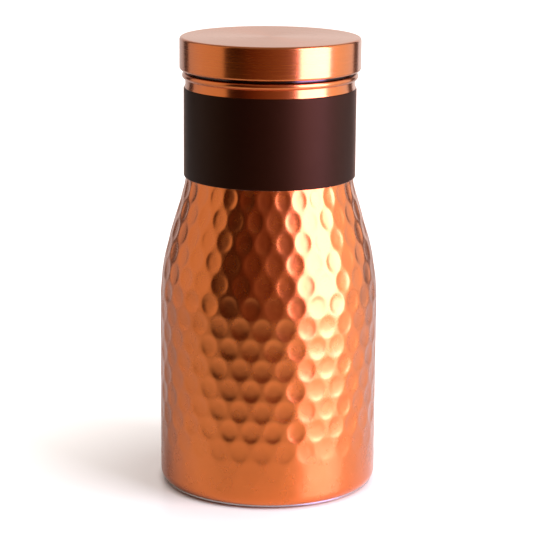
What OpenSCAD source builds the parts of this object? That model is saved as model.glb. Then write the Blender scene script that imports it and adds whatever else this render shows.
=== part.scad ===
// Screw-top copper water bottle, about one litre.
// A hammered sheet vessel with a soldered-in base, a turned neck ring with a rolled bead and an
// outside thread, a silicone grip sleeve, and a double-skinned screw lid with a loose seal.
// Millimetres. +Z is up along the bottle's axis and the origin is on the table under that axis.

/* [Vessel] */
// Outside diameter of the straight wall
body_d = 95; // [78:1:130]
// Height of the straight wall, from the table to the start of the shoulder
body_h = 80; // [50:1:140]
// Thickness of the copper sheet, in the vessel and in the lid
sheet = 0.5; // [0.3:0.05:1]
// Radius of the rounded corner at the foot
foot_r = 5; // [3:0.5:8]
// Width of the flat rim, turned in under the foot, that the bottle stands on
foot_flange = 4.5; // [3:0.5:8]
// How far the base disc is dished up above that rim
base_rise = 2.5; // [1:0.5:5]

/* [Shoulder] */
// Steepest lean of the shoulder from the vertical, in degrees
shoulder_angle = 16.5; // [8:0.5:40]
// Radius of the outward curve from the wall into the shoulder
shoulder_r = 113; // [20:1:160]
// Radius of the inward curve from the shoulder into the neck
neck_blend_r = 40; // [10:1:80]

/* [Neck] */
// Outside diameter of the plain neck barrel that the grip sleeve covers
neck_d = 72; // [50:1:88]
// Length of the neck barrel
neck_h = 34.3; // [20:0.1:60]
// Wall of the turned neck ring, under its thread
ring_wall = 1.5; // [1.2:0.1:3]
// How far the neck ring reaches down inside the barrel
spigot_h = 8; // [4:0.5:16]
// How far the ring's collar stands out from the barrel
collar_step = 0.5; // [0.3:0.1:1.5]
// Height from the collar's lower edge to the middle of the bead
collar_h = 5.1; // [3:0.1:10]
// Radius of the rolled bead
bead_r = 1.4; // [0.8:0.1:2.5]

/* [Grip sleeve] */
// Thickness of the sleeve
sleeve_t = 1.2; // [0.8:0.1:3]
// How far the sleeve runs down on to the shoulder's curve
sleeve_lap = 4.4; // [0:0.1:6]
// Radius of the sleeve's outer corners
sleeve_corner_r = 0.6; // [0.2:0.1:0.8]

/* [Thread] */
// Rise for one turn of the lid
pitch = 4; // [3:0.5:6]
// Height of each thread ridge
thread_h = 1.1; // [0.6:0.1:1.6]
// Slope of a ridge's flanks, in degrees from square to its wall
flank_angle = 29; // [15:1:40]
// Gap between each crest and the wall across from it
thread_gap = 0.3; // [0.2:0.05:0.6]
// Gap between the flanks that bear when the lid is tight
flank_gap = 0.2; // [0.1:0.05:0.3]
// Gap between the flanks on the other side of a ridge
back_gap = 0.5; // [0.3:0.05:0.8]

/* [Lid] */
// Outside height of the lid
lid_h = 14.1; // [12:0.1:24]
// Thickness of the threaded ring inside the lid, outside its bore
lid_ring_wall = 1.6; // [1.2:0.1:3]
// Radius of the lid's top corner
lid_corner_r = 1.2; // [0.8:0.1:3]
// Gap between the closed lid and the bead below it
lid_gap = 1.1; // [0.5:0.1:3]
// Thickness of the seal
seal_t = 1.8; // [1:0.1:3]
// Depth of the dish in the liner that keeps the seal central
dish_h = 1.4; // [0.8:0.1:2.5]

/* [Hidden] */

copper = "#c8703c";
copper_light = "#d98a54";
solder = "#c9c2b2";
silicone_brown = "#3a231c";
silicone_clear = "#e6e2da";

$fn = 128;
arc_step = 3;          // degrees between the points of a large arc
corner_step = 15;      // degrees between the points of a small corner
thread_step = 6;       // degrees between the sections of a thread ridge
runout = 48;           // degrees over which a ridge fades into its wall
thread_sink = 0.3;     // how deep a ridge's foot lies inside its wall
thread_margin = 0.4;   // plain wall kept beyond the ends of a ridge
bead_clear = 1.7;      // plain wall kept between the bead and the neck's ridge
rim_corner_r = 0.5;    // rounding of the mouth's two edges
hem_clear = 0.1;       // how far the lid's hem stays back from the threaded ring's bore
seal_side_gap = 0.1;   // gap round the outside of the seal
seal_overlap = 0.6;    // how far the seal reaches inside the mouth's edge
dish_gap = 0.4;        // gap between the dish and the seal's inner edge
solder_leg = 0.9;      // width of a solder fillet

// Vessel
body_r = body_d / 2;
neck_r = neck_d / 2;
foot_centre = [body_r - foot_r, foot_r];
base_r = foot_centre[0];
flange_r = base_r - foot_flange;
// The two shoulder curves shrink together where the step from wall to neck is too small for them.
arc_drop = (shoulder_r + neck_blend_r) * (1 - cos(shoulder_angle));
arc_share = min(1, (body_r - neck_r) / arc_drop);
out_r = shoulder_r * arc_share;
in_r = neck_blend_r * arc_share;
cone_h = (body_r - neck_r - arc_drop * arc_share) / tan(shoulder_angle);
shoulder_h = (out_r + in_r) * sin(shoulder_angle) + cone_h;
barrel_z = body_h + shoulder_h;
barrel_top = barrel_z + neck_h;

// Neck ring
root_r = neck_r - sheet;
mouth_r = root_r - ring_wall;
crest_r = root_r + thread_h;
collar_r = neck_r + collar_step;
bead_z = barrel_top + collar_h;
bead_top = bead_z + bead_r;

// Lid
bore_r = crest_r + thread_gap;
cap_inner_r = bore_r + lid_ring_wall;
lid_r = cap_inner_r + sheet;
lid_bottom = bead_top + lid_gap;
lid_top = lid_bottom + lid_h;
hem_r = (lid_r - bore_r - hem_clear) / 2;
inner_corner_r = max(lid_corner_r - sheet, sheet / 4);
ring_bottom = lid_bottom + 2 * hem_r;
ring_top = lid_top - 2 * sheet;
mouth_z = ring_top - seal_t;
seal_inner_r = mouth_r - seal_overlap;
dish_r = seal_inner_r - dish_gap;

// Thread: both ridges have one shape and follow helices of one pitch, so they stay clear of each
// other as the lid turns. Half way between root and crest they and their two gaps fill the pitch.
mid_w = (pitch - flank_gap - back_gap) / 2;
root_w = mid_w + (thread_h + thread_gap) * tan(flank_angle);
crest_w = root_w - 2 * thread_h * tan(flank_angle);
neck_ridge_low = bead_top + bead_clear + root_w / 2;
neck_ridge_high = mouth_z - rim_corner_r - thread_margin - root_w / 2;
lid_ridge_low = ring_bottom + thread_margin + root_w / 2;
lid_ridge_high = mouth_z - thread_margin - root_w / 2;
ridge_drop = mid_w + flank_gap;

// Points round an arc, from one angle to another
function arc(centre, r, from, to, step) =
    let (n = max(1, ceil(abs(to - from) / step)))
    [for (i = [0:n]) let (a = from + (to - from) * i / n) centre + r * [cos(a), sin(a)]];

// The vessel wall's line from the foot to the top of the neck, set in by a distance from the outside
function wall_line(inset) = concat(
    arc(foot_centre, foot_r - inset, -90, 0, corner_step),
    arc([body_r - out_r, body_h], out_r - inset, 0, shoulder_angle, arc_step),
    arc([neck_r + in_r, barrel_z], in_r + inset, 180 + shoulder_angle, 180, arc_step),
    [[neck_r - inset, barrel_top]]);

function reversed(points) = [for (i = [len(points) - 1:-1:0]) points[i]];

// The line of the cap's inner face, from its wall round the corner to the axis
cap_ceiling = concat(
    arc([cap_inner_r - inner_corner_r, lid_top - sheet - inner_corner_r], inner_corner_r,
        0, 90, corner_step),
    [[0, lid_top - sheet]]);

// Everything inside a wall line, down to the level of its foot
module wall_area(inset) {
    polygon(concat([[0, inset]], wall_line(inset), [[0, barrel_top]]));
}

// A ridge along a helix round the axis. side is 1 for a ridge that stands outwards and -1 for inwards.
// start_z is the height at which the helix passes angle 0, and the ridge runs from low to high.
module ridge(wall_r, side, start_z, low, high) {
    from = (low - start_z) / pitch * 360;
    to = (high - start_z) / pitch * 360;
    n = ceil((to - from) / thread_step);
    foot_w = root_w + 2 * thread_sink * tan(flank_angle);
    section = [[-thread_sink, -foot_w / 2], [thread_h, -crest_w / 2],
               [thread_h, crest_w / 2], [-thread_sink, foot_w / 2]];
    points = [for (i = [0:n]) let (
                  a = from + (to - from) * i / n,
                  fade = min(1, (a - from) / runout, (to - a) / runout),
                  // A faded section sinks into the wall, so that the ridge's ends leave no step.
                  depth = (1 - fade) * (thread_h + thread_sink / 2))
              for (p = section) let (
                  out = max(-thread_sink, p[0] - (p[0] > 0 ? depth : 0)),
                  r = wall_r + side * out)
              [r * cos(a), r * sin(a), start_z + pitch * a / 360 + p[1]]];
    sides = [for (i = [0:n - 1], k = [0:3]) let (j = (k + 1) % 4)
             each [[4 * i + k, 4 * i + j, 4 * i + 4 + j], [4 * i + k, 4 * i + 4 + j, 4 * i + 4 + k]]];
    ends = [[3, 2, 1], [3, 1, 0], [4 * n, 4 * n + 1, 4 * n + 2], [4 * n, 4 * n + 2, 4 * n + 3]];
    faces = concat(sides, ends);
    polyhedron(points, side > 0 ? faces : [for (f = faces) reversed(f)]);
}

module vessel_shell() {
    color(copper) rotate_extrude() polygon(concat(
        [[flange_r, 0]], wall_line(0), reversed(wall_line(sheet)), [[flange_r, sheet]]));
}

// The base disc's rim lies on the flat rim of the foot, and inside that a 45 degree slope lifts it.
module base_section() {
    slope_out = flange_r - sheet;
    slope_in = slope_out - base_rise;
    // The slope's upper face meets the flats this much further out, which keeps the sheet even.
    bend = sheet * tan(45 / 2);
    polygon([[0, sheet + base_rise], [slope_in, sheet + base_rise], [slope_out, sheet],
             [base_r, sheet], [base_r, 2 * sheet],
             [slope_out + bend, 2 * sheet], [slope_in + bend, 2 * sheet + base_rise],
             [0, 2 * sheet + base_rise]]);
}

module base_disc() {
    color(copper) rotate_extrude() base_section();
}

// Solder fills the wedge between the base disc's edge and the wall, with a sloped fillet on top.
module base_solder() {
    top = 2 * sheet;
    color(solder) rotate_extrude() intersection() {
        wall_area(sheet);
        polygon([[base_r, sheet], [body_r, sheet], [body_r, top + 2 * solder_leg],
                 [base_r, top + solder_leg / 2], [base_r - solder_leg, top], [base_r, top]]);
    }
}

module neck_ring() {
    color(copper_light) union() {
        rotate_extrude() {
            polygon(concat(
                [[mouth_r, barrel_top - spigot_h], [root_r, barrel_top - spigot_h]],
                arc([root_r - rim_corner_r, mouth_z - rim_corner_r], rim_corner_r, 0, 90, corner_step),
                arc([mouth_r + rim_corner_r, mouth_z - rim_corner_r], rim_corner_r, 90, 180, corner_step)));
            translate([mouth_r + ring_wall / 2, barrel_top])
                square([collar_r - mouth_r - ring_wall / 2, collar_h]);
            translate([collar_r, bead_z]) circle(r = bead_r, $fn = 48);
        }
        ridge(root_r, 1, neck_ridge_low, neck_ridge_low, neck_ridge_high);
    }
}

// A fillet of solder in the corner under the neck ring's lower end, inside the barrel
module neck_solder() {
    spigot_z = barrel_top - spigot_h;
    color(solder) rotate_extrude()
        polygon([[root_r, spigot_z], [root_r - solder_leg, spigot_z], [root_r, spigot_z - solder_leg]]);
}

module grip_sleeve() {
    sleeve_r = neck_r + sleeve_t;
    bottom = barrel_z - sleeve_lap;
    corner = [sleeve_corner_r, sleeve_corner_r];
    color(silicone_brown) rotate_extrude() difference() {
        polygon(concat(
            [[neck_r - sheet / 2, bottom]],
            arc([sleeve_r, bottom] + [-corner[0], corner[1]], sleeve_corner_r, -90, 0, corner_step),
            arc([sleeve_r, barrel_top] - corner, sleeve_corner_r, 0, 90, corner_step),
            [[neck_r - sheet / 2, barrel_top]]));
        wall_area(0);
    }
}

module lid_cap() {
    hem_z = lid_bottom + hem_r;
    // The hem is rolled nearly full circle, and closes where it meets the wall's inner face.
    hem_end = acos((hem_r - sheet) / hem_r) - 360;
    color(copper) rotate_extrude() polygon(concat(
        [[0, lid_top]],
        reversed(arc([lid_r - lid_corner_r, lid_top - lid_corner_r], lid_corner_r, 0, 90, corner_step)),
        arc([lid_r - hem_r, hem_z], hem_r, 0, hem_end, corner_step),
        cap_ceiling));
}

// What fits in the cap: its hollow above the hem
module cap_hollow() {
    polygon(concat([[0, ring_bottom], [cap_inner_r, ring_bottom]], cap_ceiling));
}

module lid_thread_ring() {
    color(copper_light) union() {
        rotate_extrude() intersection() {
            cap_hollow();
            translate([bore_r, ring_bottom]) square([lid_ring_wall, ring_top - ring_bottom]);
        }
        ridge(bore_r, -1, neck_ridge_low - ridge_drop, lid_ridge_low, lid_ridge_high);
    }
}

// The liner's rim is held between the threaded ring and the cap, and its dish keeps the seal central.
module lid_liner() {
    dish_z = ring_top - dish_h;
    color(copper) rotate_extrude() {
        intersection() {
            cap_hollow();
            translate([dish_r - sheet, ring_top]) square([cap_inner_r - dish_r + sheet, sheet]);
        }
        translate([dish_r - sheet, dish_z]) square([sheet, dish_h]);
        translate([0, dish_z]) square([dish_r, sheet]);
    }
}

module lid_seal() {
    color(silicone_clear) rotate_extrude() translate([seal_inner_r, mouth_z])
        square([bore_r - seal_side_gap - seal_inner_r, seal_t]);
}

vessel_shell();
base_disc();
base_solder();
neck_ring();
neck_solder();
grip_sleeve();
lid_cap();
lid_thread_ring();
lid_liner();
lid_seal();
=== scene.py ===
# %% [markdown]
# # A hammered copper water bottle
# The bottle is a vessel of copper sheet, hammered all over, with a soldered-in base, a turned neck
# ring, a silicone grip sleeve and a screw lid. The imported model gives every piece's place and size.
# This lesson builds a finished mesh for each piece in that same frame, and then its material.
# Lengths are in metres, +Z is up along the bottle's axis and the viewer stands on the -Y side.

# %% Load the frame
import math

import bmesh
import bpy
from mathutils import Matrix, Vector


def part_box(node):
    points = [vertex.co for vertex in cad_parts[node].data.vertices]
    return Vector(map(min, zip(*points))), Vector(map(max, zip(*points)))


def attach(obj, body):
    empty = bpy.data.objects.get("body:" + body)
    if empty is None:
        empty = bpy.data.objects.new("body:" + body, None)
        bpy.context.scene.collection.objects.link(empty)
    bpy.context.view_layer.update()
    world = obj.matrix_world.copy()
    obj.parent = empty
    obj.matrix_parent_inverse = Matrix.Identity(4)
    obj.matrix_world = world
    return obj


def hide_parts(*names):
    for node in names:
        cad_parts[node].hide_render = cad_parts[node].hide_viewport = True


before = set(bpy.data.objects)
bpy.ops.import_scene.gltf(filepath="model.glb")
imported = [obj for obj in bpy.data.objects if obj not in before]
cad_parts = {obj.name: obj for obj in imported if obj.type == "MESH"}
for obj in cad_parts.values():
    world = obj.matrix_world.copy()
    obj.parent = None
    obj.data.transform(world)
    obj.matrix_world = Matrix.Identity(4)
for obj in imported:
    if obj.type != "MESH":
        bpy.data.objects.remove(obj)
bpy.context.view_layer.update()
scene = bpy.context.scene
MM = 0.001

# %% [markdown]
# ## Small helpers
# Colours are written as the sRGB hex codes of a paint chart, and one function turns them into the
# linear values that Blender works in. Two more add a node to any tree and feed its sockets, so that a
# tree reads as a list of steps.


# %% Colour and node helpers
MATH = "ShaderNodeMath"
VECTOR_MATH = "ShaderNodeVectorMath"
MAP_RANGE = "ShaderNodeMapRange"
MIX = "ShaderNodeMix"
NOISE = "ShaderNodeTexNoise"
BUMP = "ShaderNodeBump"
ATTRIBUTE = "GeometryNodeInputNamedAttribute"
MIX_A, MIX_B, MIX_OUT = 6, 7, 2        # the colour sockets of a Mix node


def hex_colour(code):
    """An sRGB hex code as linear red, green, blue and alpha."""
    channels = [int(code[i:i + 2], 16) / 255 for i in (1, 3, 5)]
    linear = [c / 12.92 if c <= 0.04045 else ((c + 0.055) / 1.055) ** 2.4 for c in channels]
    return (*linear, 1.0)


def feed(node, inputs):
    """Gives sockets, by name or number, a value or what feeds them: a socket, or a node's first."""
    for key, value in inputs.items():
        if isinstance(value, bpy.types.Node):
            value = value.outputs[0]
        if isinstance(value, bpy.types.NodeSocket):
            node.id_data.links.new(value, node.inputs[key])
        else:
            node.inputs[key].default_value = value


def add(tree, kind, inputs=None, **settings):
    """Adds a node with its settings, and feeds its inputs."""
    node = tree.nodes.new(kind)
    for name, value in settings.items():
        setattr(node, name, value)
    feed(node, inputs or {})
    return node


print("copper orange in linear light:", [round(c, 3) for c in hex_colour("#E8854A")])

# %% [markdown]
# ## The camera
# A long lens from a little above suits a small bottle: its sides stay nearly straight, and the lid's
# top still shows as a thin ellipse. The lens looks down at the bottle's axis about half way up.

# %% Camera
CAMERA_LENS = 141.5                    # mm, on a 36 mm sensor
CAMERA_PLACE = Vector((-0.0010, -0.8951, 0.3051))
CAMERA_PITCH = 0.2297                  # radians below the horizon
CAMERA_ROLL = 0.0071                   # radians, the camera held a little off level

camera = bpy.data.objects.new("camera", bpy.data.cameras.new("camera"))
scene.collection.objects.link(camera)
camera.data.lens = CAMERA_LENS
camera.data.sensor_width = 36
camera.matrix_world = (Matrix.Translation(CAMERA_PLACE)
                       @ Matrix.Rotation(math.pi / 2 - CAMERA_PITCH, 4, "X")
                       @ Matrix.Rotation(CAMERA_ROLL, 4, "Z"))
scene.camera = camera
scene.view_settings.view_transform = "Standard"
print("camera", round(CAMERA_PLACE.length, 3), "m from the foot of the bottle")

# %% [markdown]
# ## Sizes from the frame
# The pieces that fit together share their sizes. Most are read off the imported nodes' boxes. The
# curves that a box can't tell, such as the shoulder, are named here with the same values as in CAD.

# %% Shared sizes
shell_low, shell_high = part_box("vessel_shell")
disc_low, disc_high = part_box("base_disc")
sleeve_low, sleeve_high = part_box("grip_sleeve")
neck_low, neck_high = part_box("neck_ring")
cap_low, cap_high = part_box("lid_cap")
screw_low, screw_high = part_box("lid_thread_ring")
liner_low, liner_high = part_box("lid_liner")
seal_low, seal_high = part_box("lid_seal")

SHEET = disc_low.z
BODY_R = shell_high.x
FOOT_R = BODY_R - disc_high.x
NECK_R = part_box("neck_solder")[1].x + SHEET
BARREL_TOP = shell_high.z
FLANGE_R = disc_high.x - 4.5 * MM

WALL_H = 80 * MM                       # where the straight wall ends
SHOULDER_LEAN = math.radians(16.5)
SHOULDER_R = 113 * MM
NECK_BLEND_R = 40 * MM

ROOT_R = NECK_R - SHEET
MOUTH_R = ROOT_R - 1.5 * MM
BEAD_R = 1.4 * MM
COLLAR_R = neck_high.x - BEAD_R
BEAD_Z = BARREL_TOP + 5.1 * MM
BORE_R = seal_high.x + 0.1 * MM
CAP_INNER_R = screw_high.x
print("sheet", round(SHEET / MM, 2), "neck radius", round(NECK_R / MM, 2), "mm")

# %% [markdown]
# ## Turning a profile
# Nearly every piece of this bottle was spun, drawn or turned, so it is a profile swept round an
# axis. A profile here is a list of points (radius, height) going anticlockwise in that half plane,
# which makes the faces point outwards. Points at radius zero become one vertex on the axis, so that
# the middle of a disc is closed.


# %% Lathe helper
def arc(centre, radius, start, end, steps):
    """Points round an arc of a profile, with the angles in degrees."""
    angles = [math.radians(start + (end - start) * i / steps) for i in range(steps + 1)]
    return [(centre[0] + radius * math.cos(a), centre[1] + radius * math.sin(a)) for a in angles]


def line(start, end, steps):
    """Points along a straight stretch of a profile, without its last point."""
    return [(start[0] + (end[0] - start[0]) * i / steps, start[1] + (end[1] - start[1]) * i / steps)
            for i in range(steps)]


def report(piece):
    """Prints what a mesh holds, and whether it is closed with its faces outwards."""
    work = bmesh.new()
    work.from_mesh(piece.data)
    open_edges = sum(1 for edge in work.edges if len(edge.link_faces) != 2)
    triangles = sum(len(face.verts) - 2 for face in work.faces)
    volume = work.calc_volume(signed=True)
    work.free()
    print(f"{piece.name}: {triangles} triangles, {open_edges} open edges, {volume * 1e9:.0f} mm3")


def lathe(name, profile, columns, crease=40):
    """A closed mesh swept round the axis, shaded smooth except where it turns sharply."""
    on_axis = [abs(r) < 1e-9 for r, z in profile]
    mesh = bpy.data.meshes.new(name)
    vertices, starts = [], []
    for (r, z), single in zip(profile, on_axis):
        starts.append(len(vertices))
        count = 1 if single else columns
        for i in range(count):
            angle = 2 * math.pi * i / columns - math.pi / 2
            vertices.append((r * math.cos(angle), r * math.sin(angle), z))
    faces = []
    for k in range(len(profile)):
        n = (k + 1) % len(profile)
        if on_axis[k] and on_axis[n]:
            continue
        for i in range(columns):
            j = (i + 1) % columns
            low = [starts[k]] if on_axis[k] else [starts[k] + i, starts[k] + j]
            high = [starts[n]] if on_axis[n] else [starts[n] + j, starts[n] + i]
            faces.append(low + high)
    mesh.from_pydata(vertices, [], faces)
    piece = bpy.data.objects.new(name, mesh)
    scene.collection.objects.link(piece)
    mesh.shade_smooth()
    mesh.set_sharp_from_angle(angle=math.radians(crease))
    report(piece)
    return piece


# %% [markdown]
# ## The wall of the vessel
# The wall rises straight from a rounded foot, leans in over a long shoulder curve and turns upright
# again into the neck. Its rows of vertices lie close together where the hammer worked, and far
# apart in the barrel that the sleeve hides.


# %% Wall profile
def wall_line(inset, step):
    """The wall from the foot to the barrel, set in from the outside, with rows about a step apart."""
    lean = math.degrees(SHOULDER_LEAN)
    drop = (SHOULDER_R + NECK_BLEND_R) * (1 - math.cos(SHOULDER_LEAN))
    cone_h = (BODY_R - NECK_R - drop) / math.tan(SHOULDER_LEAN)
    barrel_z = WALL_H + (SHOULDER_R + NECK_BLEND_R) * math.sin(SHOULDER_LEAN) + cone_h
    outward = arc((BODY_R - SHOULDER_R, WALL_H), SHOULDER_R - inset, 0, lean,
                  round(SHOULDER_R * SHOULDER_LEAN / step))
    inward = arc((NECK_R + NECK_BLEND_R, barrel_z), NECK_BLEND_R + inset, 180 + lean, 180,
                 round(NECK_BLEND_R * SHOULDER_LEAN / step))
    foot = arc((BODY_R - FOOT_R, FOOT_R), FOOT_R - inset, -90, 0, 10)
    return (foot[:-1]
            + line(foot[-1], outward[0], round((WALL_H - FOOT_R) / step))
            + outward[:-1]
            + line(outward[-1], inward[0], round(cone_h / step))
            + inward
            + [(NECK_R - inset, BARREL_TOP)])


OUTER_STEP = 0.75 * MM
INNER_STEP = 6 * MM
BLOWS_ROUND = 31
WALL_COLUMNS = BLOWS_ROUND * 14        # fourteen columns to each hammer mark
outer_line = wall_line(0, OUTER_STEP)
inner_line = wall_line(SHEET, INNER_STEP)
shell_profile = [(FLANGE_R, 0)] + outer_line + inner_line[::-1] + [(FLANGE_R, SHEET)]
smooth_shell = lathe("smooth_shell", shell_profile, WALL_COLUMNS)
# The faces of the inner skin are marked, because they get another finish
inner_from = (len(outer_line) + 1) * WALL_COLUMNS
marks = smooth_shell.data.attributes.new("inside", "BOOLEAN", "FACE")
marks.data.foreach_set("value", [i >= inner_from for i in range(len(smooth_shell.data.polygons))])
print("rows outside and inside:", len(outer_line), len(inner_line))

# %% [markdown]
# ## Hammer marks
# A planishing hammer leaves one shallow round dent a blow. The smith works round the wall, row by
# row, and each row sits in the gaps of the last. That is a rule, so Geometry Nodes make it. One
# point stands for each blow. Every vertex of the wall asks for the nearest blow and sinks by the
# depth of a dent at that distance. Odd and even rows ask apart, because a dent overlaps those of
# the next row, and the deeper one wins. A rounded crown of unstruck metal stays between two dents.


# %% Helpers for trees
def socket_id(tree, name):
    """The identifier of a tree's named input, which a modifier needs."""
    return next(item.identifier for item in tree.interface.items_tree
                if item.name == name and item.in_out == "INPUT")


def new_tree(name, sizes):
    """A Geometry Nodes tree with a mesh going in and out and the named inputs that sizes lists."""
    tree = bpy.data.node_groups.new(name, "GeometryNodeTree")
    tree.interface.new_socket("Geometry", in_out="INPUT", socket_type="NodeSocketGeometry")
    for label, (kind, value) in sizes.items():
        item = tree.interface.new_socket(label, in_out="INPUT", socket_type="NodeSocket" + kind)
        if value is not None:
            item.default_value = value
    tree.interface.new_socket("Geometry", in_out="OUTPUT", socket_type="NodeSocketGeometry")
    return tree


# %% Tree for the hammer blows
hammer = new_tree("hammer_blows", {
    "Wall line": ("Object", None),
    "Rows": ("Int", 1),
    "Blows round": ("Int", 1),
    "First row along": ("Float", 0.0),
    "Row step": ("Float", 0.0),
    "First angle": ("Float", 0.0),
    "Dent share": ("Float", 0.79),
    "Dent height": ("Float", 9.0 * MM),
    "Dent depth": ("Float", 0.33 * MM),
    "Flatness": ("Float", 1.4),
    "Crown": ("Float", 0.16),
    "Wander": ("Float", 0.2 * MM),
    "Seed": ("Int", 4),
    "Outside": ("Material", None),
    "Inside": ("Material", None),
})
size = add(hammer, "NodeGroupInput").outputs

# A row of points, one for each row of blows, that remembers its number
rows = add(hammer, "GeometryNodeMeshLine", {"Count": size["Rows"]})
row_number = add(hammer, "GeometryNodeInputIndex")
rows = add(hammer, "GeometryNodeStoreNamedAttribute",
           {"Geometry": rows, "Name": "row", "Value": row_number}, data_type="FLOAT")
row = add(hammer, ATTRIBUTE, {"Name": "row"}, data_type="FLOAT")
odd = add(hammer, MATH, {0: row, 1: 2.0}, operation="MODULO")
blows = add(hammer, "GeometryNodeDuplicateElements",
            {"Geometry": rows, "Amount": size["Blows round"]}, domain="POINT")

# Each row's radius and height, measured along the wall
wall_object = add(hammer, "GeometryNodeObjectInfo", {"Object": size["Wall line"]})
wall_curve = add(hammer, "GeometryNodeMeshToCurve", {"Mesh": wall_object.outputs["Geometry"]})
along = add(hammer, MATH, {0: row, 1: size["Row step"], 2: size["First row along"]},
            operation="MULTIPLY_ADD")
on_wall = add(hammer, "GeometryNodeSampleCurve", {"Curves": wall_curve, "Length": along}, mode="LENGTH")

# Each blow's angle: odd rows stand half a step further round, and no blow lands quite true
place = add(hammer, MATH, {0: odd, 1: 0.5, 2: blows.outputs["Duplicate Index"]},
            operation="MULTIPLY_ADD")
step = add(hammer, MATH, {0: 2 * math.pi, 1: size["Blows round"]}, operation="DIVIDE")
angle = add(hammer, MATH, {0: place, 1: step, 2: size["First angle"]}, operation="MULTIPLY_ADD")
turned = add(hammer, "ShaderNodeVectorRotate",
             {"Vector": on_wall.outputs["Position"], "Angle": angle}, rotation_type="Z_AXIS")
wander = add(hammer, "FunctionNodeRandomValue",
             {0: (-1, -1, -1), 1: (1, 1, 1), "Seed": size["Seed"]}, data_type="FLOAT_VECTOR")
astray = add(hammer, VECTOR_MATH, {0: wander, "Scale": size["Wander"]}, operation="SCALE")
blows = add(hammer, "GeometryNodeSetPosition",
            {"Geometry": blows.outputs["Geometry"], "Position": turned, "Offset": astray})

# Each blow's strength: the lowest rows fade out towards the plain band above the foot
FAINTEST = 0.18                        # the lowest row's share of a full dent
WEAKEST, STRONGEST = 0.82, 1.12        # how far one blow differs from another
fade = add(hammer, MAP_RANGE,
           {"Value": row, "From Min": 0.0, "From Max": 2.0, "To Min": FAINTEST, "To Max": 1.0})
luck = add(hammer, "FunctionNodeRandomValue", {2: WEAKEST, 3: STRONGEST, "Seed": size["Seed"]},
           data_type="FLOAT")
strength = add(hammer, MATH, {0: fade, 1: luck.outputs[1]}, operation="MULTIPLY")
blows = add(hammer, "GeometryNodeStoreNamedAttribute",
            {"Geometry": blows, "Name": "strength", "Value": strength}, data_type="FLOAT")
apart = add(hammer, "GeometryNodeSeparateGeometry",
            {"Geometry": blows, "Selection": odd}, domain="POINT")

# %% [markdown]
# A dent is a shallow bowl: deepest in its middle, with an oval rim. The next cell measures each
# vertex from its nearest blow, across and along the wall, and turns that into a depth. It runs
# twice, for the odd rows and for the even ones.

# %% Depth of a dent
position = add(hammer, "GeometryNodeInputPosition")
blow_strength = add(hammer, ATTRIBUTE, {"Name": "strength"}, data_type="FLOAT")
half_height = add(hammer, MATH, {0: size["Dent height"], 1: 2.0}, operation="DIVIDE")
height_square = add(hammer, MATH, {0: half_height, 1: half_height}, operation="MULTIPLY")
share_angle = add(hammer, MATH, {0: size["Dent share"], 1: step}, operation="MULTIPLY")

dents = []
for some_blows in (apart.outputs["Selection"], apart.outputs["Inverted"]):
    nearest = add(hammer, "GeometryNodeSampleNearest", {"Geometry": some_blows}, domain="POINT")
    centre = add(hammer, "GeometryNodeSampleIndex",
                 {"Geometry": some_blows, "Value": position, "Index": nearest},
                 data_type="FLOAT_VECTOR", domain="POINT")
    force = add(hammer, "GeometryNodeSampleIndex",
                {"Geometry": some_blows, "Value": blow_strength, "Index": nearest},
                data_type="FLOAT", domain="POINT")
    offset = add(hammer, VECTOR_MATH, {0: position, 1: centre}, operation="SUBTRACT")
    # Z crossed with the blow's place points along the row, and is as long as the radius there
    along_row = add(hammer, VECTOR_MATH, {0: (0, 0, 1), 1: centre}, operation="CROSS_PRODUCT")
    radius = add(hammer, VECTOR_MATH, {0: along_row}, operation="LENGTH")
    tangent = add(hammer, VECTOR_MATH, {0: along_row}, operation="NORMALIZE")
    across = add(hammer, VECTOR_MATH, {0: offset, 1: tangent}, operation="DOT_PRODUCT").outputs["Value"]
    across_square = add(hammer, MATH, {0: across, 1: across}, operation="MULTIPLY")
    square = add(hammer, VECTOR_MATH, {0: offset, 1: offset}, operation="DOT_PRODUCT").outputs["Value"]
    upward_square = add(hammer, MATH, {0: square, 1: across_square}, operation="SUBTRACT")
    width = add(hammer, MATH, {0: radius.outputs["Value"], 1: share_angle}, operation="MULTIPLY")
    half_width = add(hammer, MATH, {0: width, 1: 2.0}, operation="DIVIDE")
    width_square = add(hammer, MATH, {0: half_width, 1: half_width}, operation="MULTIPLY")
    in_width = add(hammer, MATH, {0: across_square, 1: width_square}, operation="DIVIDE")
    in_height = add(hammer, MATH, {0: upward_square, 1: height_square}, operation="DIVIDE")
    reach = add(hammer, MATH, {0: in_width, 1: in_height})
    # Within the rim the bowl is flatter than a sphere, as a planishing hammer's face is
    fallen = add(hammer, MATH, {0: reach, 1: size["Flatness"]}, operation="POWER")
    bowl = add(hammer, MATH, {0: 1.0, 1: fallen}, operation="SUBTRACT")
    # Beyond the rim the slope eases into the crown that is left standing between the dents
    beyond = add(hammer, MATH, {0: 1.0, 1: reach}, operation="SUBTRACT")
    steep = add(hammer, MATH, {0: beyond, 1: size["Flatness"]}, operation="MULTIPLY")
    in_crowns = add(hammer, MATH, {0: steep, 1: size["Crown"]}, operation="DIVIDE")
    eased = add(hammer, MATH, {0: in_crowns}, operation="TANH")
    crown = add(hammer, MATH, {0: eased, 1: size["Crown"]}, operation="MULTIPLY")
    shape = add(hammer, MATH, {0: bowl, 1: crown}, operation="MAXIMUM")
    from_crown = add(hammer, MATH, {0: shape, 1: size["Crown"]})
    dents.append(add(hammer, MATH, {0: from_crown, 1: force}, operation="MULTIPLY"))

deeper = add(hammer, MATH, {0: dents[0], 1: dents[1]}, operation="MAXIMUM")

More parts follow.
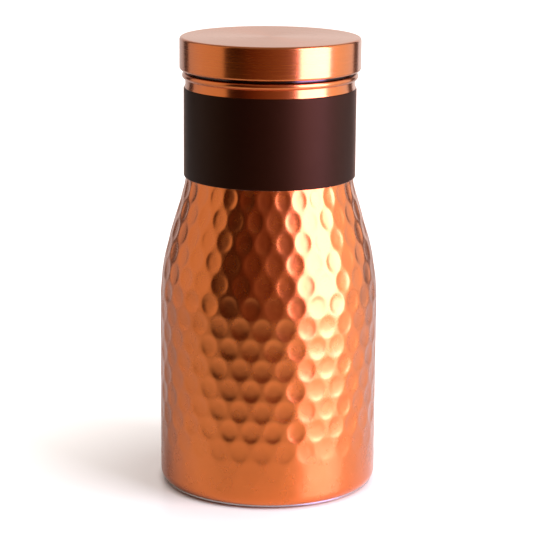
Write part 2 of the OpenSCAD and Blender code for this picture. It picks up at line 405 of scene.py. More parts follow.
# %% Sink the wall and give it its two finishes
depth = add(hammer, MATH, {0: deeper, 1: size["Dent depth"]}, operation="MULTIPLY")
to_axis = add(hammer, VECTOR_MATH, {0: position, 1: (-1, -1, 0)}, operation="MULTIPLY")
inwards = add(hammer, VECTOR_MATH, {0: to_axis}, operation="NORMALIZE")
sink = add(hammer, VECTOR_MATH, {0: inwards, "Scale": depth}, operation="SCALE")
sunk = add(hammer, "GeometryNodeSetPosition", {"Geometry": size["Geometry"], "Offset": sink})
real = add(hammer, "GeometryNodeRealizeInstances", {"Geometry": sunk})
outside = add(hammer, "GeometryNodeSetMaterial", {"Geometry": real, "Material": size["Outside"]})
inner_side = add(hammer, ATTRIBUTE, {"Name": "inside"}, data_type="BOOLEAN")
both = add(hammer, "GeometryNodeSetMaterial",
           {"Geometry": outside, "Selection": inner_side, "Material": size["Inside"]})
add(hammer, "NodeGroupOutput", {"Geometry": both})
print("hammer tree:", len(hammer.nodes), "nodes")

# %% Hammer the wall
ROWS = 14
ROW_STEP = 9.05 * MM
FAINT_ROW = 16 * MM                    # height of the faint row under the others
FIRST_BLOW = math.radians(-87.2)       # the angle of the even rows' first blow

wall_mesh = bpy.data.meshes.new("wall_line")
wall_mesh.from_pydata([(r, 0, z) for r, z in outer_line],
                      [(i, i + 1) for i in range(len(outer_line) - 1)], [])
wall_guide = bpy.data.objects.new("wall_line", wall_mesh)


def evaluate(source, tree, inputs, name):
    """Runs a tree on an object and keeps the result as a plain mesh in a new object."""
    modifier = source.modifiers.new(tree.name, "NODES")
    modifier.node_group = tree
    for label, value in inputs.items():
        modifier[socket_id(tree, label)] = value
    bpy.context.view_layer.update()
    graph = bpy.context.evaluated_depsgraph_get()
    mesh = bpy.data.meshes.new_from_object(source.evaluated_get(graph))
    source.modifiers.remove(modifier)
    mesh.name = name
    made = bpy.data.objects.new(name, mesh)
    scene.collection.objects.link(made)
    return made


hammered_copper = bpy.data.materials.new("hammered_copper_polished")
bare_copper = bpy.data.materials.new("drawn_copper_bare_inside")
to_faint_row = math.pi / 2 * FOOT_R + FAINT_ROW - FOOT_R
hammered_vessel = evaluate(smooth_shell, hammer, {
    "Wall line": wall_guide,
    "Rows": ROWS,
    "Blows round": BLOWS_ROUND,
    "First row along": to_faint_row,
    "Row step": ROW_STEP,
    "First angle": FIRST_BLOW,
    "Outside": hammered_copper,
    "Inside": bare_copper,
}, "hammered_vessel")
bpy.data.objects.remove(smooth_shell)
report(hammered_vessel)

# %% [markdown]
# ## The grip sleeve
# A seamless band of brown silicone is stretched over the neck, with soft edges. Its inner side
# follows the copper wall, so the profile takes the wall's own points there.

# %% Grip sleeve
TURN_COLUMNS = 256
EDGE_STEPS = 8                         # segments in a quarter round
SLEEVE_EDGE_R = 0.6 * MM


def rounded(corner, out, radius, start, steps=EDGE_STEPS):
    """A quarter round inside a corner. out is (1 or -1, 1 or -1), the corner's side in r and z."""
    centre = (corner[0] - out[0] * radius, corner[1] - out[1] * radius)
    return arc(centre, radius, start, start + 90, steps)


sleeve_wall = [point for point in outer_line if point[1] > sleeve_low.z]
sleeve_profile = (rounded((sleeve_high.x, sleeve_low.z), (1, -1), SLEEVE_EDGE_R, -90)
                  + rounded((sleeve_high.x, sleeve_high.z), (1, 1), SLEEVE_EDGE_R, 0)
                  + sleeve_wall[::-1]
                  + [(sleeve_wall[0][0], sleeve_low.z)])
grip_sleeve = lathe("silicone_grip_sleeve", sleeve_profile, TURN_COLUMNS)

# %% [markdown]
# ## The lid
# The cap is one piece of sheet, drawn over a former, so that its corner is small and round. Its rim
# is rolled inwards to a full hem, which leaves no sharp edge to hold. Three pieces fill it from
# within: a threaded ring, a dished liner and a silicone seal.

# %% Lid cap
LID_CORNER_R = 1.2 * MM
HEM_R = (cap_high.x - BORE_R - 0.1 * MM) / 2

hem_centre = (cap_high.x - HEM_R, cap_low.z + HEM_R)
# The hem is rolled nearly full circle, and closes where it meets the wall's inner face
hem_end = math.degrees(math.acos((HEM_R - SHEET) / HEM_R)) - 360
hem = arc(hem_centre, HEM_R, hem_end, 0, 32)
cap_profile = (hem
               + rounded((cap_high.x, cap_high.z), (1, 1), LID_CORNER_R, 0, 12)
               + [(r * MM, cap_high.z) for r in (36, 30, 20, 10, 0)]
               + [(0, cap_high.z - SHEET)]
               + rounded((CAP_INNER_R, cap_high.z - SHEET), (1, 1), LID_CORNER_R - SHEET, 0)[::-1])
lid_cap = lathe("brushed_lid_cap", cap_profile, TURN_COLUMNS)

# %% [markdown]
# The liner is a spun disc whose rim is held under the cap and whose dish keeps the seal central.
# The seal is a flat silicone ring that the lid presses on the mouth.

# %% Liner and seal
SEAL_INNER_R = MOUTH_R - 0.6 * MM
DISH_R = SEAL_INNER_R - 0.4 * MM
SEAL_EDGE_R = 0.35 * MM

liner_profile = ([(r, liner_low.z) for r in (0, 10 * MM, 20 * MM, 28 * MM)]
                 + rounded((DISH_R, liner_low.z), (1, -1), SHEET, -90)
                 + [(DISH_R, screw_high.z), (liner_high.x, screw_high.z),
                    (liner_high.x - SHEET, liner_high.z)]
                 + [(DISH_R - SHEET, liner_high.z), (DISH_R - SHEET, liner_low.z + SHEET),
                    (0, liner_low.z + SHEET)])
lid_liner = lathe("spun_lid_liner", liner_profile, TURN_COLUMNS)

seal_profile = (rounded((SEAL_INNER_R, seal_low.z), (-1, -1), SEAL_EDGE_R, 180)
                + rounded((seal_high.x, seal_low.z), (1, -1), SEAL_EDGE_R, -90)
                + rounded((seal_high.x, seal_high.z), (1, 1), SEAL_EDGE_R, 0)
                + rounded((SEAL_INNER_R, seal_high.z), (-1, 1), SEAL_EDGE_R, 90))
lid_seal = lathe("silicone_lid_seal", seal_profile, TURN_COLUMNS)

# %% [markdown]
# ## The base
# The disc is spun with its middle raised, so that the bottle stands on the foot's ring. Solder joins
# it to the wall from within. Solder is drawn into the corner while it is liquid, so its face is
# hollow, and here and there more of it has gathered.

# %% Base disc
BASE_RISE = disc_high.z - 2 * SHEET
BEND_R = 1.2 * MM
slope_out = FLANGE_R - SHEET
slope_in = slope_out - BASE_RISE
low_flat = disc_low.z + BASE_RISE

disc_profile = ([(r, low_flat) for r in (0, 10 * MM, 20 * MM, 30 * MM, slope_in - BEND_R / 2)]
                + [(slope_in, low_flat - 0.15 * MM), (slope_out - 0.3 * MM, disc_low.z + 0.3 * MM)]
                + [(slope_out + 0.4 * MM, disc_low.z), (disc_high.x, disc_low.z)]
                + [(disc_high.x, disc_low.z + SHEET), (slope_out + 0.5 * MM, disc_low.z + SHEET)]
                + [(slope_in + 0.2 * MM, disc_high.z - 0.1 * MM)]
                + [(slope_in - BEND_R / 2, disc_high.z), (0, disc_high.z)])
base_disc = lathe("spun_base_disc", disc_profile, TURN_COLUMNS)

# %% Solder fillets
def fillet(name, corner, legs, lumps):
    """A ring of solder in a corner, hollow in front, whose front swells a little here and there."""
    across, up = legs
    front = [(corner[0] + across * (1 - math.sin(a)), corner[1] + up * (1 - math.cos(a)))
             for a in [math.pi / 2 * i / 6 for i in range(7)]]
    ring = lathe(name, ([corner] + front)[::-1 if across * up < 0 else 1], TURN_COLUMNS, crease=60)
    for vertex in ring.data.vertices:
        x, y, z = vertex.co
        radius = math.hypot(x, y)
        turn = math.atan2(y, x)
        swell = math.sin(3 * turn + lumps) + math.sin(7 * turn) + math.sin(16 * turn + 2 * lumps)
        depth = abs(radius - corner[0]) / abs(across)
        vertex.co.x *= 1 + 0.02 * MM * swell * depth / radius
        vertex.co.y *= 1 + 0.02 * MM * swell * depth / radius
    return ring


SOLDER_LEG = 0.9 * MM
solder_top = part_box("base_solder")[1]
base_solder = fillet("soft_solder_at_base", (solder_top.x, disc_low.z + SHEET),
                     (-2 * SOLDER_LEG, solder_top.z - disc_low.z - SHEET), 1.0)
neck_solder = fillet("soft_solder_at_neck", (ROOT_R, neck_low.z), (-SOLDER_LEG, -SOLDER_LEG), 2.0)

# %% [markdown]
# ## The thread
# The neck ring and the lid's ring are turned and then threaded. Each ridge has the same section and
# follows a helix of the same pitch, so it is one Geometry Nodes tree, used twice: outwards on the
# neck and inwards in the lid. The ends run out into the wall.

# %% Turned neck ring
FLARE = 0.35 * MM
RIM_R = 0.5 * MM
mouth_z = seal_low.z

bead = arc((COLLAR_R, BEAD_Z), BEAD_R, -78, 135, 28)
neck_profile = ([(MOUTH_R, neck_low.z), (ROOT_R, neck_low.z), (ROOT_R, BARREL_TOP),
                 (COLLAR_R + FLARE, BARREL_TOP), (COLLAR_R + FLARE, BARREL_TOP + 0.3 * MM)]
                + [(COLLAR_R, BARREL_TOP + 1.2 * MM), (COLLAR_R, BEAD_Z - BEAD_R - 0.2 * MM)]
                + bead
                + [(ROOT_R, BEAD_Z + BEAD_R)]
                + rounded((ROOT_R, mouth_z), (1, 1), RIM_R, 0)
                + rounded((MOUTH_R, mouth_z), (-1, 1), RIM_R, 90))
turned_neck = lathe("turned_neck", neck_profile, TURN_COLUMNS)

# %% Turned lid ring
turned_screw = lathe("turned_screw", [
    (BORE_R, screw_low.z), (CAP_INNER_R, screw_low.z), (CAP_INNER_R, screw_high.z - 0.2 * MM),
    (CAP_INNER_R - 0.03 * MM, screw_high.z), (BORE_R, screw_high.z)], TURN_COLUMNS)

# %% Tree for a thread ridge
thread = new_tree("thread_ridge", {
    "Pitch": ("Float", 4 * MM),
    "Turns": ("Float", 1.5),
    "Foot radius": ("Float", 35 * MM),
    "Foot width": ("Float", 2.7 * MM),
    "Crest width": ("Float", 1.2 * MM),
    "Height": ("Float", 1.4 * MM),
    "Inwards": ("Bool", False),
    "Start height": ("Float", 0.185),
    "Start angle": ("Float", 0.0),
    "Run out": ("Float", 0.13),
    "Steps a turn": ("Int", 96),
    "Finish": ("Material", None),
})
size = add(thread, "NodeGroupInput").outputs
rise = add(thread, MATH, {0: size["Pitch"], 1: size["Turns"]}, operation="MULTIPLY")
helix = add(thread, "GeometryNodeCurveSpiral",
            {"Resolution": size["Steps a turn"], "Rotations": size["Turns"],
             "Start Radius": size["Foot radius"], "End Radius": size["Foot radius"],
             "Height": rise, "Reverse": True})
upright = add(thread, "GeometryNodeSetCurveNormal", {"Curve": helix}, mode="Z_UP")

# The ridge grows from next to nothing at both ends, over the run-out
THINNEST = 0.05                        # share of the full section
share = add(thread, "GeometryNodeSplineParameter").outputs["Factor"]
turned_so_far = add(thread, MATH, {0: share, 1: size["Turns"]}, operation="MULTIPLY")
still_to_go = add(thread, MATH, {0: size["Turns"], 1: turned_so_far}, operation="SUBTRACT")
nearer_end = add(thread, MATH, {0: turned_so_far, 1: still_to_go}, operation="MINIMUM")
grown = add(thread, MATH, {0: nearer_end, 1: size["Run out"]}, operation="DIVIDE", use_clamp=True)
never_nothing = add(thread, MATH, {0: grown, 1: THINNEST}, operation="MAXIMUM")
tapered = add(thread, "GeometryNodeSetCurveRadius", {"Curve": upright, "Radius": never_nothing})

# %% Section of the ridge and union with its ring
section = add(thread, "GeometryNodeCurvePrimitiveQuadrilateral",
              {"Height": size["Height"], "Bottom Width": size["Foot width"],
               "Top Width": size["Crest width"], "Offset": 0.0}, mode="TRAPEZOID")
middle = add(thread, MATH, {0: size["Height"], 1: 2.0}, operation="DIVIDE")
foot_at_zero = add(thread, "ShaderNodeCombineXYZ", {"Y": middle})
stood = add(thread, "GeometryNodeTransform", {"Geometry": section, "Translation": foot_at_zero})
lean = add(thread, "GeometryNodeSwitch",
           {"Switch": size["Inwards"], "False": (0, 0, -math.pi / 2), "True": (0, 0, math.pi / 2)},
           input_type="VECTOR")
leant = add(thread, "GeometryNodeTransform", {"Geometry": stood, "Rotation": lean})
swept = add(thread, "GeometryNodeCurveToMesh",
            {"Curve": tapered, "Profile Curve": leant, "Fill Caps": True})
lift = add(thread, "ShaderNodeCombineXYZ", {"Z": size["Start height"]})
spin = add(thread, "ShaderNodeCombineXYZ", {"Z": size["Start angle"]})
placed = add(thread, "GeometryNodeTransform",
             {"Geometry": swept, "Translation": lift, "Rotation": spin})
joined = add(thread, "GeometryNodeMeshBoolean", operation="UNION", solver="EXACT")
for part in (size["Geometry"], placed):
    feed(joined, {"Mesh 2": part})
real = add(thread, "GeometryNodeRealizeInstances", {"Geometry": joined})
finished = add(thread, "GeometryNodeSetMaterial", {"Geometry": real, "Material": size["Finish"]})
add(thread, "NodeGroupOutput", {"Geometry": finished})
print("thread tree:", len(thread.nodes), "nodes")

# %% Cut both threads
PITCH = 4 * MM
RIDGE_H = 1.1 * MM
THREAD_GAP = 0.3 * MM
FLANK = math.radians(29)
FLANK_GAP = 0.2 * MM
BACK_GAP = 0.5 * MM
SUNK = 0.3 * MM                        # how deep a ridge's foot lies inside its wall
RUN_OUT = 48 / 360                     # turns
OVER_BEAD = 1.7 * MM                   # from the bead's top to the first ridge
END_GAP = 0.4 * MM                     # from a ridge to the edge of its ring

middle_w = (PITCH - FLANK_GAP - BACK_GAP) / 2
root_w = middle_w + (RIDGE_H + THREAD_GAP) * math.tan(FLANK)
crest_w = root_w - 2 * RIDGE_H * math.tan(FLANK)
neck_from = BEAD_Z + BEAD_R + OVER_BEAD + root_w / 2
neck_to = mouth_z - RIM_R - END_GAP - root_w / 2
lid_from = screw_low.z + END_GAP + root_w / 2
lid_to = mouth_z - END_GAP - root_w / 2
lid_zero = neck_from - middle_w - FLANK_GAP
turned_copper = bpy.data.materials.new("turned_copper")


def cut_thread(ring, name, low, high, zero, inwards):
    """Adds a ridge from one height to another, on the helix that passes angle 0 at zero."""
    wall = BORE_R + SUNK if inwards else ROOT_R - SUNK
    made = evaluate(ring, thread, {
        "Pitch": PITCH,
        "Turns": (high - low) / PITCH,
        "Foot radius": wall,
        "Foot width": root_w + 2 * SUNK * math.tan(FLANK),
        "Crest width": crest_w,
        "Height": RIDGE_H + SUNK,
        "Inwards": inwards,
        "Start height": low,
        "Start angle": (low - zero) / PITCH * 2 * math.pi,
        "Run out": RUN_OUT,
        "Finish": turned_copper,
    }, name)
    bpy.data.objects.remove(ring)
    made.data.shade_smooth()
    made.data.set_sharp_from_angle(angle=math.radians(40))
    report(made)
    return made


neck_ring = cut_thread(turned_neck, "threaded_neck_ring", neck_from, neck_to, neck_from, False)
lid_screw = cut_thread(turned_screw, "threaded_lid_ring", lid_from, lid_to, lid_zero, True)

# %% [markdown]
# ## Finishes
# All the metal here is copper, and copper's colour is its reflection: orange face on, and paler and
# pinker where the light grazes it. What tells the pieces apart is how each surface was worked, so
# the finishes share one shader start and differ in their lines, dents and blotches. The metal also
# has a clear coat, the lacquer that keeps it from browning, which pales its highlights.

# %% Helpers for finishes
def begin(material, values):
    """Gives a material a principled shader. Returns its tree, the shader and the object's place."""
    material.use_nodes = True
    tree = material.node_tree
    tree.nodes.clear()
    shader = add(tree, "ShaderNodeBsdfPrincipled", values)
    add(tree, "ShaderNodeOutputMaterial", {"Surface": shader})
    place = add(tree, "ShaderNodeTexCoord").outputs["Object"]
    return tree, shader, place


def lines_round_axis(tree, place, spacing, length):
    """Uneven lines that run round the axis, spacing apart and about length long, from 0 to 1."""
    level = add(tree, VECTOR_MATH, {0: place, 1: (1, 1, 0)}, operation="MULTIPLY")
    radius = add(tree, VECTOR_MATH, {0: level}, operation="LENGTH").outputs["Value"]
    height = add(tree, "ShaderNodeSeparateXYZ", {0: place}).outputs["Z"]
    across = add(tree, MATH, {0: radius, 1: height}, operation="SUBTRACT")
    fine = add(tree, MATH, {0: across, 1: 1 / spacing}, operation="MULTIPLY")
    heading = add(tree, VECTOR_MATH, {0: level}, operation="NORMALIZE")
    fine_vector = add(tree, "ShaderNodeCombineXYZ", {"Z": fine})
    spread = (BODY_R / length,) * 3
    pattern_place = add(tree, VECTOR_MATH, {0: heading, 1: spread, 2: fine_vector},
                        operation="MULTIPLY_ADD")
    noise = add(tree, NOISE, {"Vector": pattern_place, "Scale": 1.0, "Detail": 3.0, "Roughness": 0.6})
    return noise.outputs["Fac"]


def direction_round_axis(tree, place):
    """The direction of turning at each point, which brushed metal's shader needs as its tangent."""
    crossed = add(tree, VECTOR_MATH, {0: (0, 0, 1), 1: place}, operation="CROSS_PRODUCT")
    turned_to_world = add(tree, "ShaderNodeVectorTransform", {0: crossed}, vector_type="VECTOR",
                          convert_from="OBJECT", convert_to="WORLD")
    return turned_to_world


print("helpers for copper with lines round the axis")

# %% [markdown]
# ### Hammered, polished copper
# The wall was planished with a polished hammer and then buffed and lacquered. Its reflections are
# nearly sharp, and each dent bends them. Buffing leaves faint fine marks, and the lacquer lets a
# slight uneven browning show.

# %% Hammered copper
tree, shader, place = begin(hammered_copper, {"Metallic": 1.0, "Coat Weight": 1.0,
                                              "Coat Roughness": 0.25})
blotch = add(tree, NOISE, {"Vector": place, "Scale": 1 / (18 * MM), "Detail": 4.0, "Roughness": 0.6})
tone = add(tree, MIX, {0: blotch.outputs["Fac"], MIX_A: hex_colour("#DF7119"),
                       MIX_B: hex_colour("#EB7C20")}, data_type="RGBA")
cloud = add(tree, NOISE, {"Vector": place, "Scale": 1 / (6 * MM), "Detail": 3.0})
gloss = add(tree, MAP_RANGE,
            {"Value": cloud.outputs["Fac"], "From Min": 0.3, "From Max": 0.7,
             "To Min": 0.23, "To Max": 0.29})
feed(shader, {"Base Color": tone.outputs[MIX_OUT], "Roughness": gloss})

# Buffing marks, drawn coarser than the real ones, and turning lines on the plain band over the foot
marks = add(tree, NOISE, {"Vector": place, "Scale": 1 / (1.5 * MM), "Detail": 3.0})
lines = lines_round_axis(tree, place, 0.5 * MM, 40 * MM)
height = add(tree, "ShaderNodeSeparateXYZ", {0: place}).outputs["Z"]
plain = add(tree, MAP_RANGE, {"Value": height, "From Min": 19 * MM, "From Max": 13 * MM})
line_height = add(tree, MATH, {0: lines, 1: plain}, operation="MULTIPLY")
both = add(tree, MATH, {0: line_height, 1: 0.6, 2: marks.outputs["Fac"]}, operation="MULTIPLY_ADD")
smooth_foot = add(tree, MAP_RANGE, {"Value": height, "From Min": 2 * MM, "From Max": 6 * MM})
relief = add(tree, BUMP, {"Height": both, "Distance": 0.012 * MM, "Strength": smooth_foot})
feed(shader, {"Normal": relief})
print(hammered_copper.name, len(tree.nodes), "nodes")

# %% [markdown]
# ### Bare copper inside
# Nobody buffs the inside. It is drawn copper, dulled by the heat of soldering and by water, so its
# reflections are wide and its tone drifts from pink to brown.

# %% Bare copper
tree, shader, place = begin(bare_copper, {"Metallic": 1.0, "Roughness": 0.42})
drift = add(tree, NOISE, {"Vector": place, "Scale": 1 / (14 * MM), "Detail": 5.0})
tone = add(tree, MIX, {0: drift.outputs["Fac"], MIX_A: hex_colour("#A85C3C"),
                       MIX_B: hex_colour("#DD8A62")}, data_type="RGBA")
feed(shader, {"Base Color": tone.outputs[MIX_OUT]})
print(bare_copper.name, len(tree.nodes), "nodes")

# %% [markdown]
# ### Brushed copper
# The lid turned against an abrasive pad, so its scratches run round the axis: level lines on the
# side and rings on the top. Such lines mirror sharply along themselves and spread light across, which
# draws a highlight out into an upright band on the side and into a fan on the top.


# %% Brushed copper and its kin
def brushed(material, light, dark, roughness, spread, spacing, relief_depth):
    """Copper with lines round the axis: their spacing and depth, and how far they spread light."""
    tree, shader, place = begin(material, {"Metallic": 1.0, "Anisotropic": spread,
                                           "Anisotropic Rotation": 0.25, "Coat Weight": 1.0,
                                           "Coat Roughness": 0.2})
    lines = lines_round_axis(tree, place, spacing, 60 * MM)
    broad = lines_round_axis(tree, place, 5 * spacing, 90 * MM)
    tone = add(tree, MIX, {0: broad, MIX_A: hex_colour(dark), MIX_B: hex_colour(light)},
               data_type="RGBA")
    gloss = add(tree, MAP_RANGE, {"Value": lines, "From Min": 0.3, "From Max": 0.7,
                                  "To Min": 0.8 * roughness, "To Max": 1.2 * roughness})
    relief = add(tree, BUMP, {"Height": lines, "Distance": relief_depth})
    feed(shader, {"Base Color": tone.outputs[MIX_OUT], "Roughness": gloss,
                  "Normal": relief, "Tangent": direction_round_axis(tree, place)})
    print(material.name, len(tree.nodes), "nodes")
    return tree, shader, place


brushed_copper = bpy.data.materials.new("brushed_copper")
spun_copper = bpy.data.materials.new("spun_copper")
brushed(brushed_copper, "#E67C28", "#DC7220", 0.24, 0.8, 0.2 * MM, 0.0012 * MM)
brushed(spun_copper, "#DD8450", "#CC6F3E", 0.3, 0.5, 0.9 * MM, 0.012 * MM)
tree, shader, place = brushed(turned_copper, "#E67C28", "#DC7220", 0.2, 0.4, 0.2 * MM, 0.001 * MM)

# %% [markdown]
# The corner over the bead, under the lid's rim, lies deep in shade, and that shade is painted into the
# copper's colour: a dark level band round the neck ring, which starts on the bead and fades out at the
# thread's first turn.

# %% Painted shade over the bead
height = add(tree, "ShaderNodeSeparateXYZ", {0: place}).outputs["Z"]
over_bead = add(tree, MAP_RANGE, {"Value": height, "From Min": BEAD_Z + 0.8 * MM,
                                  "From Max": BEAD_Z + 1.5 * MM})
under_thread = add(tree, MAP_RANGE, {"Value": height, "From Min": BEAD_Z + 4.2 * MM,
                                     "From Max": BEAD_Z + 3.2 * MM})
# the band where shade is painted, dark over the bead and fading out under the thread
corner = add(tree, MATH, {0: over_bead, 1: under_thread}, operation="MULTIPLY")
unshaded_colour = shader.inputs["Base Color"].links[0].from_socket
painted_shade = add(tree, MIX, {0: corner, MIX_A: unshaded_colour, MIX_B: hex_colour("#2A120A")}, data_type="RGBA")
feed(shader, {"Base Color": painted_shade.outputs[MIX_OUT]})
# the height where the painted shade starts
print("stain from", round((BEAD_Z + 0.8 * MM) / MM, 1), "mm up")

# %% [markdown]
# ### Solder
# Tin solder sets silvery grey with a slightly frosted skin.

# %% Solder
soft_solder = bpy.data.materials.new("soft_solder")
tree, shader, place = begin(soft_solder, {"Metallic": 1.0, "Base Color": hex_colour("#B9B6AE"),
                                          "Roughness": 0.38})
frost = add(tree, NOISE, {"Vector": place, "Scale": 1 / (0.8 * MM), "Detail": 3.0})
relief = add(tree, BUMP, {"Height": frost.outputs["Fac"], "Distance": 0.03 * MM})
feed(shader, {"Normal": relief})
print(soft_solder.name, len(tree.nodes), "nodes")

# %% [markdown]
# ### Silicone
# Moulded silicone is a soft, close-grained rubber: a low, wide gloss over a deep body colour. The
# sleeve is pigmented dark brown. The seal has no pigment, so light passes into it and it looks milky.

# %% Brown and clear silicone
SILICONE_IOR = 1.42

brown_silicone = bpy.data.materials.new("moulded_silicone_brown")
tree, shader, place = begin(brown_silicone, {
    "IOR": SILICONE_IOR, "Base Color": hex_colour("#1A0703"),
    "Specular IOR Level": 0.25, "Specular Tint": hex_colour("#FFB070"),
    "Sheen Weight": 0.9, "Sheen Roughness": 0.2, "Sheen Tint": hex_colour("#FFD2BC")})
bloom = add(tree, NOISE, {"Vector": place, "Scale": 1 / (7 * MM), "Detail": 4.0})
gloss = add(tree, MAP_RANGE, {"Value": bloom.outputs["Fac"], "To Min": 0.42, "To Max": 0.5})
grain = add(tree, NOISE, {"Vector": place, "Scale": 1 / (0.35 * MM), "Detail": 2.0})
relief = add(tree, BUMP, {"Height": grain.outputs["Fac"], "Distance": 0.008 * MM})
feed(shader, {"Roughness": gloss, "Normal": relief})

clear_silicone = bpy.data.materials.new("moulded_silicone_clear")
begin(clear_silicone, {"IOR": SILICONE_IOR, "Base Color": hex_colour("#E9E6DE"), "Roughness": 0.35,
                       "Transmission Weight": 0.45})
print(brown_silicone.name, "and", clear_silicone.name)

# %% [markdown]
# ## Giving each piece its finish and its body
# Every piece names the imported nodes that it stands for, the body that it moves with and the material
# slot that its finish belongs to.

# %% Finish, ride, replace
PIECES = [
    (hammered_vessel, None, "vessel", "vessel_shell", "hammered_copper"),
    (base_disc, spun_copper, "vessel", "base_disc", "spun_copper"),
    (base_solder, soft_solder, "vessel", "base_solder", "solder"),
    (neck_ring, None, "vessel", "neck_ring", "turned_copper"),
    (neck_solder, soft_solder, "vessel", "neck_solder", "solder"),
    (grip_sleeve, brown_silicone, "vessel", "grip_sleeve", "brown_silicone"),
    (lid_cap, brushed_copper, "lid", "lid_cap", "brushed_copper"),
    (lid_screw, None, "lid", "lid_thread_ring", "turned_copper"),
    (lid_liner, spun_copper, "lid", "lid_liner", "spun_copper"),
    (lid_seal, clear_silicone, "seal", "lid_seal", "clear_silicone"),
]
for piece, finish, body, node, slot in PIECES:
    if finish:
        piece.data.materials.append(finish)
    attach(piece, body)
    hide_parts(node)
    print(piece.name, "rides on", body)

# %% [markdown]
# ## The table
# The bottle stands on white paper. A polished bottle seen from above mirrors the paper in its lower
# half, and beyond the paper's front edge it mirrors the room. The softbox's light falling off towards
# the front is painted into the paper's colour as painted shade, which only reflections see: white under
# the bottle and grey towards the front, so that the reflection darkens upwards. A glow that only the
# camera sees keeps the paper white away from the bottle, and leaves the soft shadow and the dark line
# under the foot. A wider floor that mirrors don't see carries the white on.

# %% Paper and floor
# the grey in these two is painted shade, a fall-off of light painted into the paper
PAPER_FRONT = -0.38                    # its front edge, where the grey is deepest
GRADE_FROM = -0.08                     # where the white starts to turn grey
SHADOW_NEAR, SHADOW_FAR = 0.055, 0.155  # from the axis: the glow rises between these two
GLOW_NEAR, GLOW_FAR = 0.3, 0.9         # the glow's strength at each of them

white_paper = bpy.data.materials.new("satin_paper_painted_falloff")
tree, shader, place = begin(white_paper, {"Roughness": 0.3, "Emission Color": hex_colour("#FFF9F5")})
# painted shade: grey towards the front for every ray but the camera's, in place of light falling off
depth_on_paper = add(tree, "ShaderNodeSeparateXYZ", {0: place}).outputs["Y"]
painted_falloff = add(tree, MAP_RANGE, {"Value": depth_on_paper, "From Min": GRADE_FROM,
                               "From Max": PAPER_FRONT})
camera_ray = add(tree, "ShaderNodeLightPath").outputs["Is Camera Ray"]
other_ray = add(tree, MATH, {0: 1.0, 1: camera_ray}, operation="SUBTRACT")
grey = add(tree, MATH, {0: painted_falloff, 1: other_ray}, operation="MULTIPLY")
tone = add(tree, MIX, {0: grey, MIX_A: hex_colour("#F4F4F4"), MIX_B: hex_colour("#66625F")},
           data_type="RGBA")
away = add(tree, VECTOR_MATH, {0: place}, operation="LENGTH").outputs["Value"]
fill = add(tree, MAP_RANGE, {"Value": away, "From Min": SHADOW_NEAR, "From Max": SHADOW_FAR,
                             "To Min": GLOW_NEAR, "To Max": GLOW_FAR})
open_paper = add(tree, MAP_RANGE, {"Value": away, "From Min": BODY_R - 2 * MM,
                                   "From Max": BODY_R + 2 * MM})
filled = add(tree, MATH, {0: fill, 1: open_paper}, operation="MULTIPLY")
glow = add(tree, MATH, {0: camera_ray, 1: filled}, operation="MULTIPLY")
feed(shader, {"Base Color": tone.outputs[MIX_OUT], "Emission Strength": glow})


def slab(name, west, east, south, north, z):
    """A flat rectangle that is part of the stage."""
    mesh = bpy.data.meshes.new(name)
    mesh.from_pydata([(west, south, z), (east, south, z), (east, north, z), (west, north, z)], [],
                     [(0, 1, 2, 3)])
    made = bpy.data.objects.new(name, mesh)
    mesh.materials.append(white_paper)
    scene.collection.objects.link(made)
    return made


paper = slab("paper", -0.6, 0.6, PAPER_FRONT, 0.8, -0.1 * MM)
floor = slab("floor", -6, 6, -6, 6, -0.5 * MM)
floor.visible_glossy = False
floor.visible_diffuse = False
print("paper reaches", -PAPER_FRONT, "m in front of the bottle")

# %% [markdown]
# ## The room that the copper mirrors
# Polished metal shows its surroundings, so the room is planned as a photographer would. Going round
# from the back on the left: a white backdrop, a black edge, a pale wall, a dark warm room in front,
# a pale wall on the right, another black edge and the backdrop again. The bottle's round side
# squeezes all of that into upright bands. The camera itself sees plain white all round.

# %% Room
BRIGHTEST = 1.4
# Degrees round from the front towards the right, level beside white, and tint
ROOM = [(-180, 0.8, "#FFEDE2"), (-150, 0.5, "#FFFFFF"), (-142, 0.5, "#FFFFFF"),
        (-140, 0.05, "#FFB890"), (-127, 0.05, "#FFB890"), (-125, 0.6, "#FFEFE6"),
        (-100, 0.75, "#FFEFE6"), (-62, 0.72, "#FFEFE6"), (-58, 0.04, "#FFA070"),
        (-40, 0.04, "#FFA070"), (-22, 0.12, "#FFA070"), (26, 0.3, "#FFC8A0"),
        (34, 0.6, "#FFE8D8"), (84, 1.3, "#FFFFFF"), (128, 1.0, "#FFFFFF"),
        (131, 0.08, "#FFB890"), (145, 0.08, "#FFB890"), (147, 0.9, "#FFFFFF"),
        (180, 0.8, "#FFEDE2")]
CEILING = 0.3                          # its level, full from 55 degrees up and none below 35

world = bpy.data.worlds.new("studio_room")
scene.world = world
world.use_nodes = True
tree = world.node_tree
tree.nodes.clear()
heading = add(tree, "ShaderNodeTexCoord").outputs["Generated"]
parts = add(tree, "ShaderNodeSeparateXYZ", {0: heading}).outputs
to_front = add(tree, MATH, {0: parts["Y"], 1: -1.0}, operation="MULTIPLY")
round_room = add(tree, MATH, {0: parts["X"], 1: to_front}, operation="ARCTAN2")
share = add(tree, MATH, {0: round_room, 1: 0.5 / math.pi, 2: 0.5}, operation="MULTIPLY_ADD")
walls = add(tree, "ShaderNodeValToRGB", {"Fac": share})
stops = walls.color_ramp.elements
for turn, level, tint in ROOM[1:-1]:
    stops.new(turn / 360 + 0.5)
for stop, (turn, level, tint) in zip(stops, ROOM):
    stop.position = turn / 360 + 0.5
    stop.color = [level / BRIGHTEST * c for c in hex_colour(tint)[:3]] + [1]
overhead = add(tree, MAP_RANGE,
               {"Value": parts["Z"], "From Min": math.sin(math.radians(35)),
                "From Max": math.sin(math.radians(55))}, interpolation_type="SMOOTHSTEP")
above = (CEILING / BRIGHTEST,) * 3 + (1,)
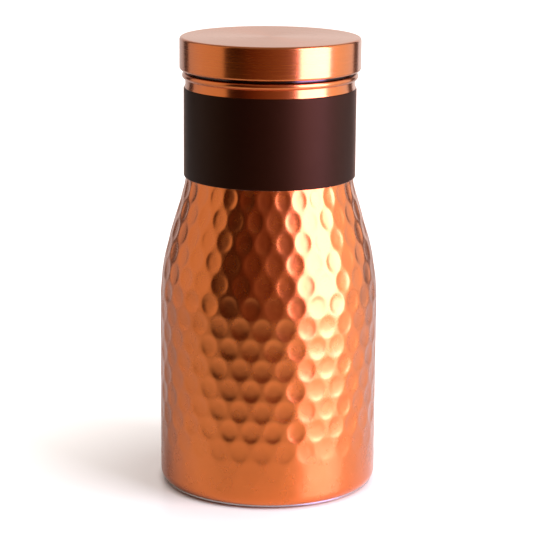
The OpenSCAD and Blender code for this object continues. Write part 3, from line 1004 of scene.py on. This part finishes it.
room = add(tree, MIX, {0: overhead, MIX_A: walls.outputs["Color"], MIX_B: above},
           data_type="RGBA").outputs[MIX_OUT]
camera_ray = add(tree, "ShaderNodeLightPath").outputs["Is Camera Ray"]
seen = add(tree, MIX, {0: camera_ray, MIX_A: room, MIX_B: (1 / BRIGHTEST,) * 3 + (1,)},
           data_type="RGBA")
background = add(tree, "ShaderNodeBackground", {"Color": seen.outputs[MIX_OUT], "Strength": BRIGHTEST})
add(tree, "ShaderNodeOutputWorld", {"Surface": background})
print("room:", len(ROOM), "edges, brightest", BRIGHTEST)

# %% [markdown]
# A tall softbox stands on the floor, front right. It gives the cream white band down the right of
# the bottle and the soft shadow on the far side. It is two lights. One lights matt surfaces, and one
# shows in reflections: its lavender cast balances the orange of the copper, so the band stays pale.

# %% Softbox
SOFTBOX_TURN = math.radians(57)        # round from the front towards the right
SOFTBOX_AWAY = 0.45
SOFTBOX_SIZE = (0.34, 0.6)
SOFTBOX_LEVEL = 8.0                    # its brightness beside a white that is lit plainly


def softbox(name, colour, away):
    """An upright softbox on the floor, facing the bottle."""
    light = bpy.data.lights.new(name, "AREA")
    light.shape = "RECTANGLE"
    light.color = colour
    light.size, light.size_y = SOFTBOX_SIZE
    light.energy = SOFTBOX_LEVEL * math.pi * SOFTBOX_SIZE[0] * SOFTBOX_SIZE[1]
    lamp = bpy.data.objects.new(name, light)
    scene.collection.objects.link(lamp)
    lamp.matrix_world = (Matrix.Rotation(SOFTBOX_TURN, 4, "Z")
                         @ Matrix.Translation((0, -away, SOFTBOX_SIZE[1] / 2))
                         @ Matrix.Rotation(math.pi / 2, 4, "X"))
    lamp.visible_camera = False
    return lamp


PALE_LILAC = (0.92, 0.89, 1.0)
LAVENDER = (0.9, 0.69, 1.65)           # linear, brighter than white in blue
BEHIND = 20 * MM                       # two lights in one place would hide each other

lighting = softbox("softbox_lighting", PALE_LILAC, SOFTBOX_AWAY + BEHIND)
lighting.visible_glossy = False
mirrored = softbox("softbox_mirrored", LAVENDER, SOFTBOX_AWAY)
mirrored.visible_diffuse = False
bpy.context.view_layer.update()
faces = lighting.matrix_world.to_quaternion() @ Vector((0, 0, -1))
print("softbox faces", [round(x, 2) for x in faces])
